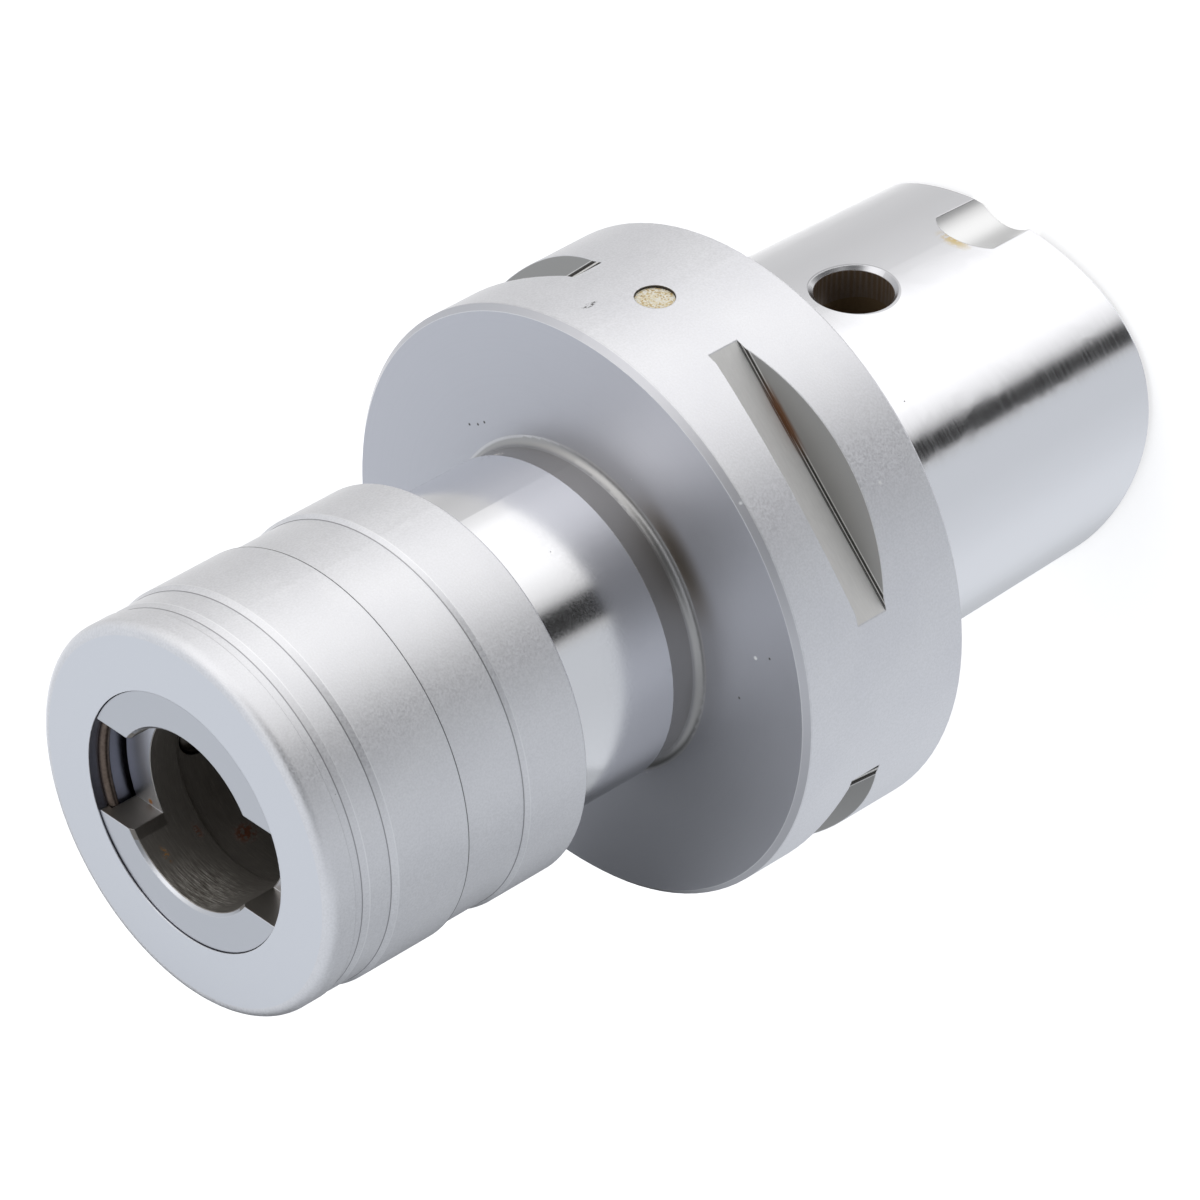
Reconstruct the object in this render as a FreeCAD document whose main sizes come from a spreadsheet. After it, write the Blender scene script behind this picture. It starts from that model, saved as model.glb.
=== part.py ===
import FreeCAD, Part
import math
import os
import re
import Sketcher

# Quick-change tapping chuck with length compensation, on a hollow polygonal taper shank.
# The shank end stands on z = 0 and the nose points up. Millimetres.

doc = FreeCAD.newDocument("tapping_chuck")
sheet = doc.addObject("Spreadsheet::Sheet", "Sizes")

# Driving dimensions
sizes = {
    # polygonal shank and the hollow inside it
    "shank_length": 38.0,
    "polygon_diameter": 43.6,
    "polygon_lobe": 1.5,
    "shank_taper": 0.05,
    "shank_end_chamfer": 0.7,
    "cavity_diameter": 28.0,
    "cavity_mouth_chamfer": 1.5,
    "cavity_depth": 30.0,
    "clamp_groove_depth": 2.2,
    "clamp_groove_start": 7.5,
    "clamp_groove_width": 6.0,
    "clamp_groove_ramp": 2.2,
    "web_thickness": 8.0,
    "side_hole_height": 22.1,
    "side_hole_diameter": 8.1,
    "side_hole_countersink": 0.6,
    "scallop_width": 8.0,
    "scallop_depth": 1.9,
    "scallop_height": 8.0,
    "scallop_end_radius": 5.2,
    # flange
    "flange_diameter": 63.0,
    "flange_thickness": 22.0,
    "flange_chamfer": 0.6,
    "face_relief_gap": 1.0,
    "face_relief_depth": 0.7,
    "groove_setback": 9.95,
    "groove_depth": 3.7,
    "groove_floor_width": 3.9,
    "groove_relief_depth": 0.55,
    "groove_flank_angle": 30.0,
    # neck
    "neck_wall": 3.88,
    "neck_length": 27.4,
    "neck_relief_depth": 0.42,
    "neck_relief_length": 3.9,
    "neck_root_radius": 0.9,
    "neck_end_chamfer": 0.5,
    # drive pins and the plugs that close their holes
    "pin_diameter": 4.0,
    "pin_chamfer": 0.4,
    "pin_engagement": 2.0,
    "plug_length": 3.65,
    "plug_recess": 0.35,
    # spindle
    "running_clearance": 0.04,
    "free_clearance": 0.1,
    "adapter_bore": 19.0,
    "spindle_wall": 4.0,
    "nose_recess": 0.2,
    "bore_chamfer": 0.35,
    "spindle_end_chamfer": 0.6,
    "floor_gap": 0.6,
    "spring_bore": 18.4,
    "partition_thickness": 2.9,
    "vent_diameter": 2.5,
    "drive_slot_width": 10.8,
    "drive_slot_depth": 4.0,
    "slot_corner_length": 1.3,
    "slot_corner_width": 0.7,
    "lip_height": 1.0,
    "ring_track_depth": 0.6,
    # float springs and what holds them
    "float_travel": 6.0,
    "stop_gap": 0.2,
    "float_spring_length": 15.0,
    "float_spring_side_gap": 1.4,
    "float_spring_wire": 1.5,
    "float_spring_turns": 4.5,
    "bolt_diameter": 8.0,
    "bolt_head_diameter": 13.0,
    "bolt_head_height": 6.0,
    "bolt_head_chamfer": 0.5,
    "bolt_tip_chamfer": 0.8,
    "bolt_socket_width": 6.0,
    "bolt_socket_depth": 3.5,
    "washer_diameter": 14.8,
    "washer_thickness": 1.0,
    "nut_flange_thickness": 3.0,
    "stop_boss_wall": 1.35,
    "end_bush_thickness": 4.0,
    # release sleeve and guard skirt
    "neck_gap": 0.58,
    "sleeve_wall": 2.77,
    "sleeve_travel": 4.0,
    "nose_ring_step": 0.27,
    "nose_corner_radius": 1.2,
    "nose_ring_length": 3.1,
    "front_groove_depth": 0.57,
    "front_groove_floor": 1.05,
    "front_groove_ramp": 0.8,
    "grip_front_depth": 0.35,
    "grip_front_length": 2.6,
    "grip_front_ramp": 0.7,
    "joint_setback": 17.24,
    "grip_rear_depth": 0.39,
    "grip_rear_length": 7.4,
    "grip_rear_ramp": 0.5,
    "skirt_chamfer": 0.2,
    "skirt_step_drop": 0.56,
    "spigot_length": 3.4,
    "spigot_wall": 1.0,
    "sleeve_head_length": 11.34,
    "sleeve_land_wall": 2.02,
    "sleeve_shoulder": 7.84,
    "release_recess_top": 4.14,
    "ring_wire": 1.2,
    "ring_gap_angle": 24.0,
    "wiper_setback": 0.7,
    "wiper_height": 1.5,
    "wiper_depth": 1.4,
    "wiper_overrun": 0.1,
    # locking balls
    "ball_diameter": 5.0,
    "ball_setback": 10.14,
    "ball_lift": 1.0,
    "ball_protrusion": 0.95,
    "ball_lip": 0.25,
    "ball_relief_depth": 0.25,
    "ball_relief_height": 5.6,
    "ball_turn": 90.0,
    "cone_clearance": 0.11,
    "ball_count": 2,
    # sleeve spring and its collar
    "sleeve_spring_wire": 0.9,
    "sleeve_spring_side_gap": 0.7,
    "sleeve_spring_turns": 2.8,
    "collar_gap": 0.5,
    "collar_thickness": 1.0,
    "collar_side_gap": 0.3,
    "collar_ring_thickness": 0.9,
    "collar_ring_depth": 0.8,
    "collar_ring_width": 1.9,
    # seal between neck and spindle
    "seal_setback": 3.3,
    "seal_section": 1.6,
    "seal_groove_width": 2.1,
}
for row, (alias, value) in enumerate(sizes.items(), start=1):
    sheet.set("A%d" % row, alias)
    sheet.set("B%d" % row, str(value))
    sheet.setAlias("B%d" % row, alias)
doc.recompute()


def bound(text):
    """An expression on the size names, written for the document."""
    def named(word):
        return "Sizes." + word.group() if word.group() in sizes else word.group()
    return re.sub(r"[a-z]\w*", named, text)


def value_of(text):
    """The present value of an expression on the size names."""
    result = sheet.evalExpression(bound(text))
    return float(getattr(result, "Value", result))


# Radii and levels, all worked out from the sizes
spindle_radius = "(adapter_bore / 2 + spindle_wall)"
bore_radius = "(%s + running_clearance)" % spindle_radius
neck_radius = "(%s + neck_wall)" % bore_radius
cavity_radius = "(%s + neck_gap)" % neck_radius
sleeve_radius = "(%s + sleeve_wall)" % cavity_radius
sleeve_bore_radius = "(%s + 2 * running_clearance)" % spindle_radius
skirt_bore_radius = "(%s + 2 * running_clearance)" % neck_radius
spigot_radius = "(%s + spigot_wall)" % cavity_radius
ring_track_radius = "(%s - ring_track_depth)" % spindle_radius
ball_radius = "(ball_diameter / 2)"
ball_centre = "(adapter_bore / 2 - ball_protrusion + ball_diameter / 2)"
pin_hole_radius = "(pin_diameter / 2 + running_clearance)"

contact_face = "(shank_length)"
flange_front = "(shank_length + flange_thickness)"
groove_level = "(%s - groove_setback)" % flange_front
neck_top = "(%s + neck_length)" % flange_front
seal_level = "(%s - seal_setback)" % neck_top
bore_floor = "(cavity_depth + web_thickness)"
spindle_bottom = "(%s + float_travel + floor_gap)" % bore_floor
bush_top = "(%s + end_bush_thickness)" % spindle_bottom
nut_bottom = "(%s + float_spring_length)" % bush_top
nut_top = "(%s + nut_flange_thickness)" % nut_bottom
partition_bottom = "(%s + float_spring_length)" % nut_top
collar_ring_bottom = "(%s + float_travel + collar_gap)" % neck_top
collar_bottom = "(%s + collar_ring_thickness)" % collar_ring_bottom
collar_top = "(%s + collar_thickness)" % collar_bottom
land_bottom = "(%s + sleeve_travel + free_clearance)" % collar_top
nose = "(%s + sleeve_head_length)" % land_bottom
spindle_top = "(%s - nose_recess)" % nose
lip_bottom = "(%s - lip_height)" % spindle_top
ring_level = "(%s - running_clearance - ring_wire / 2)" % lip_bottom
ball_level = "(%s - ball_setback)" % spindle_top
ball_relief_radius = "(adapter_bore / 2 + ball_relief_depth)"
ball_relief_bottom = "(%s - ball_relief_height / 2)" % ball_level
ball_relief_top = "(%s + ball_relief_height / 2)" % ball_level
shoulder_level = "(%s - sleeve_shoulder)" % nose
joint_level = "(%s - joint_setback)" % nose
skirt_step_level = "(%s - skirt_step_drop)" % joint_level
wiper_top = "(%s - neck_end_chamfer - wiper_overrun - float_travel)" % neck_top
wiper_bottom = "(%s - wiper_height)" % wiper_top
skirt_bottom = "(%s - wiper_setback)" % wiper_bottom


def plane_of(body, role):
    return next(item for item in body.Origin.OriginFeatures if item.Role == role)


def place_point(sketch, line, horizontal, vertical):
    """Fixes the start of a sketch line at bound distances from the sketch origin."""
    for kind, text, axis in (("DistanceX", horizontal, -2), ("DistanceY", vertical, -1)):
        size = value_of(text)
        if abs(size) < 1e-9:
            sketch.addConstraint(Sketcher.Constraint("PointOnObject", line, 1, axis))
        elif size > 0:
            index = sketch.addConstraint(Sketcher.Constraint(kind, -1, 1, line, 1, size))
            sketch.setExpression("Constraints[%d]" % index, bound(text))
        else:
            index = sketch.addConstraint(Sketcher.Constraint(kind, line, 1, -1, 1, -size))
            sketch.setExpression("Constraints[%d]" % index, bound("-(%s)" % text))


def outline_sketch(body, name, role, points):
    """A closed sketch of straight lines through points whose places are expressions."""
    sketch = body.newObject("Sketcher::SketchObject", name)
    sketch.AttachmentSupport = [(plane_of(body, role), "")]
    sketch.MapMode = "FlatFace"
    corners = [FreeCAD.Vector(value_of(across), value_of(up), 0) for across, up in points]
    for start, end in zip(corners, corners[1:] + corners[:1]):
        sketch.addGeometry(Part.LineSegment(start, end))
    for line in range(len(corners)):
        sketch.addConstraint(Sketcher.Constraint("Coincident", line, 2, (line + 1) % len(corners), 1))
    for line, (across, up) in enumerate(points):
        place_point(sketch, line, across, up)
    return sketch


def turned(label, section, angle="360"):
    """A PartDesign body turned about z from a section given as (radius, height) expressions."""
    body = doc.addObject("PartDesign::Body", label)
    body.Label = label
    sketch = outline_sketch(body, label + "_section", "XZ_Plane", section)
    turn = body.newObject("PartDesign::Revolution", label + "_turning")
    turn.Profile = sketch
    turn.ReferenceAxis = (sketch, ["V_Axis"])
    turn.setExpression("Angle", bound(angle))
    sketch.Visibility = False
    return body


def ring_section(inner, outer, bottom, top):
    return [(inner, bottom), (outer, bottom), (outer, top), (inner, top)]


def circle_edges(feature, radius, height):
    """Names of the circular edges of one radius at one height."""
    names = []
    for number, edge in enumerate(feature.Shape.Edges, start=1):
        curve = edge.Curve
        if isinstance(curve, Part.Circle):
            if abs(curve.Radius - radius) < 1e-4 and abs(curve.Center.z - height) < 1e-4:
                names.append("Edge%d" % number)
    return names


def round_edge(body, name, radius, edge_radius, edge_height):
    """A fillet on one turned edge of a body."""
    doc.recompute()
    base = body.Tip
    fillet = body.newObject("PartDesign::Fillet", name)
    fillet.Base = (base, circle_edges(base, value_of(edge_radius), value_of(edge_height)))
    fillet.setExpression("Radius", bound(radius))
    body.Tip = fillet
    doc.recompute()


def radial_cylinder(name, radius, start, end, height, azimuth=0.0):
    """A Part cylinder that lies along a radius, from one distance to another."""
    item = doc.addObject("Part::Cylinder", name)
    item.setExpression("Radius", bound(radius))
    item.setExpression("Height", bound("(%s) - (%s)" % (end, start)))
    turn = FreeCAD.Rotation(FreeCAD.Vector(0, 0, 1), azimuth)
    lay = FreeCAD.Rotation(FreeCAD.Vector(0, 1, 0), 90)
    item.Placement = FreeCAD.Placement(FreeCAD.Vector(), turn.multiply(lay))
    across = math.cos(math.radians(azimuth))
    along = math.sin(math.radians(azimuth))
    item.setExpression("Placement.Base.x", bound("(%s) * %.12f" % (start, across)))
    item.setExpression("Placement.Base.y", bound("(%s) * %.12f" % (start, along)))
    item.setExpression("Placement.Base.z", bound(height))
    return item


def joined(name, pieces):
    item = doc.addObject("Part::MultiFuse", name)
    item.Shapes = pieces
    return item


def cut(label, base, tool):
    item = doc.addObject("Part::Cut", label)
    item.Base = base
    item.Tool = tool
    item.Label = label
    return item


def coil(label, mean_radius, wire, bottom, length, turns):
    """A compression spring standing on a level; eight sides stand for its round wire."""
    wire_outline = doc.addObject("Part::RegularPolygon", label + "_wire")
    wire_outline.Polygon = 8
    wire_outline.setExpression("Circumradius", bound("(%s) / 2" % wire))
    stand = FreeCAD.Rotation(FreeCAD.Vector(1, 0, 0), 90)
    wire_outline.Placement = FreeCAD.Placement(FreeCAD.Vector(0, 0, 0), stand)
    wire_outline.setExpression("Placement.Base.x", bound(mean_radius))
    helix = doc.addObject("Part::Helix", label + "_helix")
    helix.setExpression("Radius", bound(mean_radius))
    helix.setExpression("Height", bound("(%s) - (%s)" % (length, wire)))
    helix.setExpression("Pitch", bound("((%s) - (%s)) / (%s)" % (length, wire, turns)))
    spring = doc.addObject("Part::Sweep", label)
    spring.Sections = [wire_outline]
    spring.Spine = helix
    spring.Solid = True
    spring.Frenet = True
    spring.Label = label
    spring.setExpression("Placement.Base.z", bound("(%s) + (%s) / 2" % (bottom, wire)))
    return spring


# Holder body: hollow polygonal shank, flange and neck in one piece of hardened steel

def polygon_wire(level, shrink):
    """The three-lobed polygon at a height above the shank end; a lobe points along -x."""
    gauge = sheet.polygon_diameter / 2
    mean = gauge - sheet.shank_taper / 2 * (sheet.shank_length - level) - shrink
    lobe = sheet.polygon_lobe
    points = []
    steps = 72
    for step in range(steps):
        turn = 2 * math.pi * step / steps
        across = mean * math.cos(turn) - lobe * math.cos(2 * turn)
        along = mean * math.sin(turn) + lobe * math.sin(2 * turn)
        points.append(FreeCAD.Vector(across, along, level))
    curve = Part.BSplineCurve()
    curve.interpolate(Points=points, PeriodicFlag=True)
    return Part.Wire(curve.toShape())


def shank_shape():
    """Lofts the tapered polygon from the shank end, with its chamfer, up into the flange."""
    chamfer = sheet.shank_end_chamfer
    top = sheet.shank_length + sheet.face_relief_depth + 1
    lead = Part.makeLoft([polygon_wire(0, chamfer), polygon_wire(chamfer, 0)], True, True)
    taper = Part.makeLoft([polygon_wire(chamfer, 0), polygon_wire(top, 0)], True, True)
    return lead.fuse(taper).removeSplitter()


shank = doc.addObject("Part::Feature", "shank_taper")
shank.Shape = shank_shape()
shank.Placement = FreeCAD.Placement()

face_relief_radius = "(polygon_diameter / 2 + polygon_lobe + face_relief_gap)"
relief_radius = "(%s - neck_relief_depth)" % neck_radius
flange = turned("flange_and_neck", [
    ("0", "%s + face_relief_depth" % contact_face),
    (face_relief_radius, "%s + face_relief_depth" % contact_face),
    (face_relief_radius, contact_face),
    ("flange_diameter / 2 - flange_chamfer", contact_face),
    ("flange_diameter / 2", "%s + flange_chamfer" % contact_face),
    ("flange_diameter / 2", "%s - flange_chamfer" % flange_front),
    ("flange_diameter / 2 - flange_chamfer", flange_front),
    (relief_radius, flange_front),
    (relief_radius, "%s + neck_relief_length" % flange_front),
    (neck_radius, "%s + neck_relief_length" % flange_front),
    (neck_radius, "%s - neck_end_chamfer" % neck_top),
    ("%s - neck_end_chamfer" % neck_radius, neck_top),
    ("0", neck_top),
])
round_edge(flange, "neck_root_fillet", "neck_root_radius", relief_radius, flange_front)

# The bores: draw-bar cavity with its clamping groove, float bolt hole, spindle bore with a seal groove
clamp_groove_radius = "(cavity_diameter / 2 + clamp_groove_depth)"
seal_groove_radius = "(%s + seal_section + 2 * running_clearance)" % spindle_radius
holder_bores = turned("holder_bores", [
    ("0", "-1"),
    ("cavity_diameter / 2 + cavity_mouth_chamfer + 1", "-1"),
    ("cavity_diameter / 2", "cavity_mouth_chamfer"),
    ("cavity_diameter / 2", "clamp_groove_start"),
    (clamp_groove_radius, "clamp_groove_start + clamp_groove_ramp"),
    (clamp_groove_radius, "clamp_groove_start + clamp_groove_width"),
    ("cavity_diameter / 2", "clamp_groove_start + clamp_groove_width + clamp_groove_ramp"),
    ("cavity_diameter / 2", "cavity_depth"),
    ("bolt_diameter / 2 + free_clearance", "cavity_depth"),
    ("bolt_diameter / 2 + free_clearance", bore_floor),
    (bore_radius, bore_floor),
    (bore_radius, "%s - seal_groove_width / 2" % seal_level),
    (seal_groove_radius, "%s - seal_groove_width / 2" % seal_level),
    (seal_groove_radius, "%s + seal_groove_width / 2" % seal_level),
    (bore_radius, "%s + seal_groove_width / 2" % seal_level),
    (bore_radius, "%s - neck_end_chamfer" % neck_top),
    ("%s + neck_end_chamfer + 1" % bore_radius, "%s + 1" % neck_top),
    ("0", "%s + 1" % neck_top),
])

# The four V-grooves are straight cuts across the rim, each with a narrow relief along its floor
groove = doc.addObject("PartDesign::Body", "segment_grooves")
groove_floor = "(flange_diameter / 2 - groove_depth)"
groove_step = "(%s + groove_relief_depth)" % groove_floor
groove_mouth = "(flange_diameter / 2 + groove_depth)"
flank = "((%s - %s) * tan(groove_flank_angle))" % (groove_mouth, groove_step)
groove_low = "(%s - groove_floor_width / 2)" % groove_level
groove_high = "(%s + groove_floor_width / 2)" % groove_level
groove_sketch = outline_sketch(groove, "groove_section", "XZ_Plane", [
    (groove_floor, groove_low),
    (groove_step, groove_low),
    (groove_mouth, "%s - %s" % (groove_low, flank)),
    (groove_mouth, "%s + %s" % (groove_high, flank)),
    (groove_step, groove_high),
    (groove_floor, groove_high),
])
groove_pad = groove.newObject("PartDesign::Pad", "groove_cutter")
groove_pad.Profile = groove_sketch
groove_pad.SideType = "Symmetric"
groove_pad.setExpression("Length", bound("flange_diameter"))
groove_pattern = groove.newObject("PartDesign::PolarPattern", "groove_pattern")
groove_pattern.Originals = [groove_pad]
groove_pattern.Axis = (plane_of(groove, "Z_Axis"), [""])
groove_pattern.Angle = 360
groove_pattern.Occurrences = 4
groove.Tip = groove_pattern
groove.Placement = FreeCAD.Placement(FreeCAD.Vector(), FreeCAD.Rotation(FreeCAD.Vector(0, 0, 1), 45))

# Countersunk hole through one flat of the polygon
flat_radius = "(polygon_diameter / 2 - shank_taper / 2 * (shank_length - side_hole_height) - polygon_lobe)"
side_hole = radial_cylinder("side_hole", "side_hole_diameter / 2", "cavity_diameter / 4",
                            "polygon_diameter", "side_hole_height")
countersink = doc.addObject("Part::Cone", "side_hole_sink")
countersink.setExpression("Radius1", bound("side_hole_diameter / 2"))
countersink.setExpression("Radius2", bound("side_hole_diameter / 2 + side_hole_countersink + polygon_lobe"))
countersink.setExpression("Height", bound("side_hole_countersink + polygon_lobe"))
countersink.Placement = FreeCAD.Placement(FreeCAD.Vector(), FreeCAD.Rotation(FreeCAD.Vector(0, 1, 0), 90))
countersink.setExpression("Placement.Base.x", bound("%s - side_hole_countersink" % flat_radius))
countersink.setExpression("Placement.Base.z", bound("side_hole_height"))

# Rounded scallop at the shank end, in line with the hole, with a curved run-out
scallop_radius = "((scallop_width * scallop_width / 4 + scallop_depth * scallop_depth) / (2 * scallop_depth))"
end_flat = "(polygon_diameter / 2 - shank_taper / 2 * shank_length - polygon_lobe)"
scallop_round = doc.addObject("Part::Cylinder", "scallop_round")
scallop_round.setExpression("Radius", bound(scallop_radius))
scallop_round.setExpression("Height", bound("scallop_height + 1"))
scallop_round.setExpression("Placement.Base.x", bound("%s - scallop_depth + %s" % (end_flat, scallop_radius)))
scallop_round.setExpression("Placement.Base.z", "-1")
scallop_end = radial_cylinder("scallop_end", "scallop_end_radius", "%s - 2 * scallop_depth" % end_flat,
                              "polygon_diameter", "scallop_height - scallop_end_radius")
scallop_side = doc.addObject("Part::Box", "scallop_side")
scallop_side.setExpression("Length", bound("polygon_diameter - %s + 2 * scallop_depth" % end_flat))
scallop_side.setExpression("Width", bound("2 * scallop_end_radius"))
scallop_side.setExpression("Height", bound("scallop_height - scallop_end_radius + 1"))
scallop_side.setExpression("Placement.Base.x", bound("%s - 2 * scallop_depth" % end_flat))
scallop_side.setExpression("Placement.Base.y", bound("-scallop_end_radius"))
scallop_side.setExpression("Placement.Base.z", "-1")
scallop = doc.addObject("Part::Common", "scallop")
scallop.Base = scallop_round
scallop.Tool = joined("scallop_plan", [scallop_end, scallop_side])

# Two radial holes in the rim for the drive pins
pin_holes = [
    radial_cylinder("pin_hole_%d" % (number + 1), pin_hole_radius, "adapter_bore / 4",
                    "flange_diameter / 2 + 1", groove_level, 180.0 * number)
    for number in range(2)
]

holder_blank = joined("holder_blank", [shank, flange])
holder_cuts = joined("holder_cuts", [holder_bores, groove, side_hole, countersink, scallop] + pin_holes)
holder = cut("holder_body", holder_blank, holder_cuts)

# Spindle: takes the quick-change adapter at the nose and slides in the neck

ring_track_bottom = "(%s - sleeve_travel - ring_wire - 4 * free_clearance)" % lip_bottom
spindle_turning = turned("spindle_turning", [
    ("spring_bore / 2", spindle_bottom),
    ("%s - spindle_end_chamfer" % spindle_radius, spindle_bottom),
    (spindle_radius, "%s + spindle_end_chamfer" % spindle_bottom),
    (spindle_radius, collar_ring_bottom),
    ("%s - collar_ring_depth" % spindle_radius, collar_ring_bottom),
    ("%s - collar_ring_depth" % spindle_radius, collar_bottom),
    (spindle_radius, collar_bottom),
    (spindle_radius, ring_track_bottom),
    (ring_track_radius, ring_track_bottom),
    (ring_track_radius, lip_bottom),
    (spindle_radius, lip_bottom),
    (spindle_radius, spindle_top),
    ("adapter_bore / 2 + bore_chamfer", spindle_top),
    ("adapter_bore / 2", "%s - bore_chamfer" % spindle_top),
    ("adapter_bore / 2", ball_relief_top),
    (ball_relief_radius, ball_relief_top),
    (ball_relief_radius, ball_relief_bottom),
    ("adapter_bore / 2", ball_relief_bottom),
    ("adapter_bore / 2", "%s + partition_thickness" % partition_bottom),
    ("vent_diameter / 2", "%s + partition_thickness" % partition_bottom),
    ("vent_diameter / 2", partition_bottom),
    ("spring_bore / 2", partition_bottom),
])
doc.recompute()

# Two drive slots across the nose, their outer corners relieved
slot_sketch = outline_sketch(spindle_turning, "drive_slot_plan", "XY_Plane", [
    ("-drive_slot_width / 2", "-(%s - slot_corner_length)" % spindle_radius),
    ("-drive_slot_width / 2 - slot_corner_width", "-(%s + 1)" % spindle_radius),
    ("drive_slot_width / 2 + slot_corner_width", "-(%s + 1)" % spindle_radius),
    ("drive_slot_width / 2", "-(%s - slot_corner_length)" % spindle_radius),
    ("drive_slot_width / 2", "%s - slot_corner_length" % spindle_radius),
    ("drive_slot_width / 2 + slot_corner_width", "%s + 1" % spindle_radius),
    ("-drive_slot_width / 2 - slot_corner_width", "%s + 1" % spindle_radius),
    ("-drive_slot_width / 2", "%s - slot_corner_length" % spindle_radius),
])
slot_sketch.setExpression("AttachmentOffset.Base.z", bound("%s - drive_slot_depth" % spindle_top))
slots = spindle_turning.newObject("PartDesign::Pocket", "drive_slots")
slots.Profile = slot_sketch
slots.Reversed = True
slots.setExpression("Length", bound("drive_slot_depth + 1"))
spindle_turning.Tip = slots
doc.recompute()

# Stepped holes for the balls: a pocket from outside and a narrower window into the relief of the bore
ball_count = int(sheet.ball_count)
ball_angles = [sheet.ball_turn + 360.0 / ball_count * number for number in range(ball_count)]
pocket_floor = "(%s + ball_lip)" % ball_relief_radius
window_reach = "(%s - %s)" % (ball_centre, pocket_floor)
window_square = "%s * %s - %s * %s" % (ball_radius, ball_radius, window_reach, window_reach)
window_radius = "(sqrt(%s) + running_clearance)" % window_square
ball_pockets = []
for number, azimuth in enumerate(ball_angles, start=1):
    ball_pockets.append(radial_cylinder(
        "ball_pocket_%d" % number, "%s + running_clearance" % ball_radius,
        pocket_floor, "%s + 1" % spindle_radius, ball_level, azimuth))
    ball_pockets.append(radial_cylinder(
        "ball_window_%d" % number, window_radius,
        "adapter_bore / 4", spindle_radius, ball_level, azimuth))

# Two keyways from the lower end, as long as the float needs, with round ends for the drive pins
keyways = []
for number in range(2):
    keyway = doc.addObject("Part::Box", "keyway_%d" % (number + 1))
    keyway.setExpression("Length", bound("pin_engagement + free_clearance + 1"))
    keyway.setExpression("Width", bound("2 * %s" % pin_hole_radius))
    keyway.setExpression("Height", bound("%s + float_travel - %s + 1" % (groove_level, spindle_bottom)))
    inner = "(%s - pin_engagement - free_clearance)" % spindle_radius
    turn = FreeCAD.Rotation(FreeCAD.Vector(0, 0, 1), 180.0 * number)
    keyway.Placement = FreeCAD.Placement(FreeCAD.Vector(0, 0, 0), turn)
    side = 1 - 2 * number
    keyway.setExpression("Placement.Base.x", bound("%d * %s" % (side, inner)))
    keyway.setExpression("Placement.Base.y", bound("%d * %s" % (-side, pin_hole_radius)))
    keyway.setExpression("Placement.Base.z", bound("%s - 1" % spindle_bottom))
    keyways.append(keyway)
    keyways.append(radial_cylinder(
        "keyway_end_%d" % (number + 1), pin_hole_radius, inner, "%s + 1" % spindle_radius,
        "%s + float_travel" % groove_level, 180.0 * number))

spindle = cut("spindle", spindle_turning, joined("spindle_cuts", ball_pockets + keyways))

# Release sleeve: pushed towards the flange it lets the locking balls move outwards

cone_slope = "(ball_lift / sleeve_travel)"
cone_at_ball = "(%s + %s + cone_clearance)" % (ball_centre, ball_radius)
cone_start = "(%s - (%s - %s) / %s)" % (ball_level, cone_at_ball, sleeve_bore_radius, cone_slope)
recess_top = "(%s - release_recess_top)" % nose
cone_top_radius = "(%s + (%s - %s) * %s)" % (cone_at_ball, recess_top, ball_level, cone_slope)
front_groove = "(%s - nose_ring_length)" % nose
nose_ring_radius = "(%s - nose_ring_step)" % sleeve_radius
front_groove_radius = "(%s - front_groove_depth)" % sleeve_radius
grip_front_radius = "(%s - grip_front_depth)" % sleeve_radius
grip_rear_radius = "(%s - grip_rear_depth)" % sleeve_radius
ring_groove_radius = "(%s + ring_wire / 2 + 2 * free_clearance)" % spindle_radius
ring_groove_half = "(ring_wire / 2 + running_clearance)"
land_radius = "(%s + sleeve_land_wall)" % sleeve_bore_radius
spigot_bore = "(%s + running_clearance)" % spigot_radius
spigot_seat = "(%s + spigot_length + free_clearance)" % joint_level
grip_front_top = "(%s - front_groove_floor - front_groove_ramp)" % front_groove
grip_front_bottom = "(%s - grip_front_length)" % grip_front_top
release_sleeve = turned("release_sleeve", [
    (spigot_bore, joint_level),
    (sleeve_radius, joint_level),
    (sleeve_radius, "%s - grip_front_ramp" % grip_front_bottom),
    (grip_front_radius, grip_front_bottom),
    (grip_front_radius, grip_front_top),
    (front_groove_radius, "%s + front_groove_ramp" % grip_front_top),
    (front_groove_radius, front_groove),
    (nose_ring_radius, front_groove),
    (nose_ring_radius, nose),
    (sleeve_bore_radius, nose),
    (sleeve_bore_radius, "%s + %s" % (ring_level, ring_groove_half)),
    (ring_groove_radius, "%s + %s" % (ring_level, ring_groove_half)),
    (ring_groove_radius, "%s - %s" % (ring_level, ring_groove_half)),
    (sleeve_bore_radius, "%s - %s" % (ring_level, ring_groove_half)),
    (sleeve_bore_radius, recess_top),
    (cone_top_radius, recess_top),
    (sleeve_bore_radius, cone_start),
    (sleeve_bore_radius, land_bottom),
    (land_radius, land_bottom),
    (land_radius, shoulder_level),
    (cavity_radius, shoulder_level),
    (cavity_radius, spigot_seat),
    (spigot_bore, spigot_seat),
])
round_edge(release_sleeve, "nose_corner", "nose_corner_radius", nose_ring_radius, nose)

# Guard skirt: screwed into the release sleeve, it covers the end of the neck

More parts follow.
